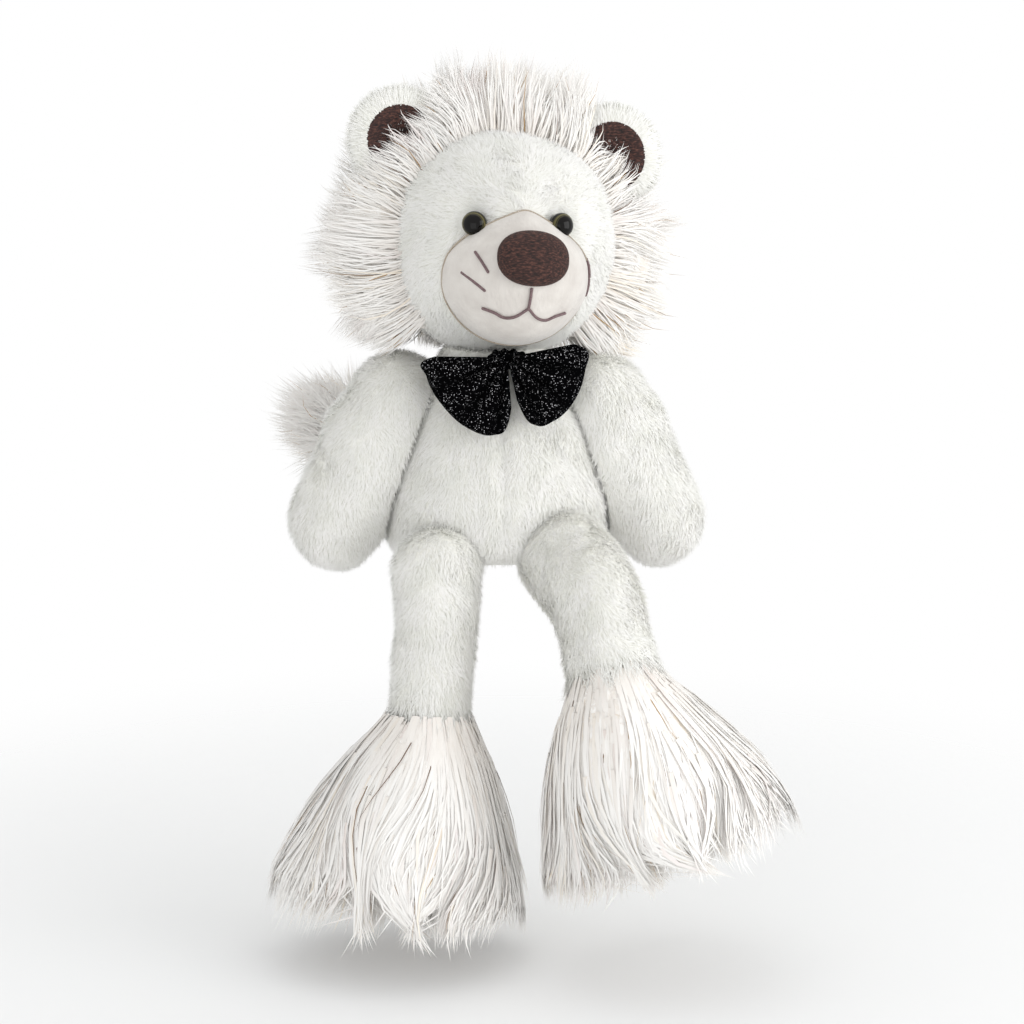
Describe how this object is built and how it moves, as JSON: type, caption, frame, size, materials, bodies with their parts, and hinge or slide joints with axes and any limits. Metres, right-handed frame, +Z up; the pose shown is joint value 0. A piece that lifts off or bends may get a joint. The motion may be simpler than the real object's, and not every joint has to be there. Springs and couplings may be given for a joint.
{
  "type": "plush lion",
  "caption": "Seated white plush lion with a long-haired mane, dangling legs ending in furry feet, a tufted tail and a glittery bow tie.",
  "frame": {"origin": "middle of the flat seat under the body", "axes": "+Z up through the body to the head, -Y out of the belly, +X to the lion's left side"},
  "size_m": [0.2346, 0.2048, 0.3816],
  "materials": {
    "plush": "short white plush pile",
    "long_fur": "long silky cream pile with copper and gold hairs",
    "filling": "loose white polyester fibre",
    "velboa": "short velvety pile, warm grey",
    "brown_velboa": "short velvety pile, dark brown",
    "eye": "clear dome over a dark pupil and an olive ring",
    "washer": "moulded white plastic",
    "thread": "twisted mauve-brown embroidery thread",
    "white_thread": "white sewing thread",
    "bow": "black cloth with silver glitter"
  },
  "bodies": {
    "body": {"body_skin": "plush", "body_filling": "filling", "closing_seam": "white_thread", "bow_knot": "bow", "bow_loop_right": "bow", "bow_loop_left": "bow"},
    "head": {"head_skin": "plush", "head_filling": "filling", "mane": "long_fur", "muzzle_skin": "velboa", "muzzle_filling": "filling", "nose": "brown_velboa", "mouth_stitch": "thread", "eye_right": "eye", "eye_washer_right": "washer", "ear_right": "plush", "ear_lining_right": "brown_velboa", "whisker_upper_right": "thread", "whisker_lower_right": "thread", "eye_left": "eye", "eye_washer_left": "washer", "ear_left": "plush", "ear_lining_left": "brown_velboa", "whisker_upper_left": "thread", "whisker_lower_left": "thread"},
    "tail": {"tail_skin": "plush", "tail_filling": "filling", "tail_tuft": "long_fur"},
    "right_arm": {"arm_skin_right": "plush", "arm_filling_right": "filling"},
    "right_leg": {"leg_skin_right": "plush", "leg_filling_right": "filling"},
    "right_foot": {"foot_fur_right": "long_fur", "foot_filling_right": "filling"},
    "left_arm": {"arm_skin_left": "plush", "arm_filling_left": "filling"},
    "left_leg": {"leg_skin_left": "plush", "leg_filling_left": "filling"},
    "left_foot": {"foot_fur_left": "long_fur", "foot_filling_left": "filling"}
  },
  "joints": [
    {"name": "head_turn", "type": "hinge", "parent": "body", "child": "head", "pos_m": [0.0015, -0.002, 0.0954], "axis": [0, 0, 1], "range_deg": [-35, 35]},
    {"name": "right_arm_swing", "type": "hinge", "parent": "body", "child": "right_arm", "pos_m": [-0.046, 0, 0.067], "axis": [-1, 0, 0], "range_deg": [-10, 80]},
    {"name": "left_arm_swing", "type": "hinge", "parent": "body", "child": "left_arm", "pos_m": [0.046, 0, 0.067], "axis": [-1, 0, 0], "range_deg": [-10, 80]},
    {"name": "right_leg_swing", "type": "hinge", "parent": "body", "child": "right_leg", "pos_m": [-0.029, -0.037, 0], "axis": [-1, 0, 0], "range_deg": [-8, 85]},
    {"name": "left_leg_swing", "type": "hinge", "parent": "body", "child": "left_leg", "pos_m": [0.028, -0.037, 0.003], "axis": [-1, 0, 0], "range_deg": [-45, 25]},
    {"name": "right_ankle_bend", "type": "hinge", "parent": "right_leg", "child": "right_foot", "pos_m": [-0.034, -0.05, -0.064], "axis": [-1, 0, 0], "range_deg": [-12, 12]},
    {"name": "left_ankle_bend", "type": "hinge", "parent": "left_leg", "child": "left_foot", "pos_m": [0.044, -0.077, -0.042], "axis": [-1, 0, 0], "range_deg": [-12, 12]},
    {"name": "tail_sway", "type": "hinge", "parent": "body", "child": "tail", "pos_m": [0, 0.044, 0.014], "axis": [0, 0, -1], "range_deg": [0, 120]}
  ]
}
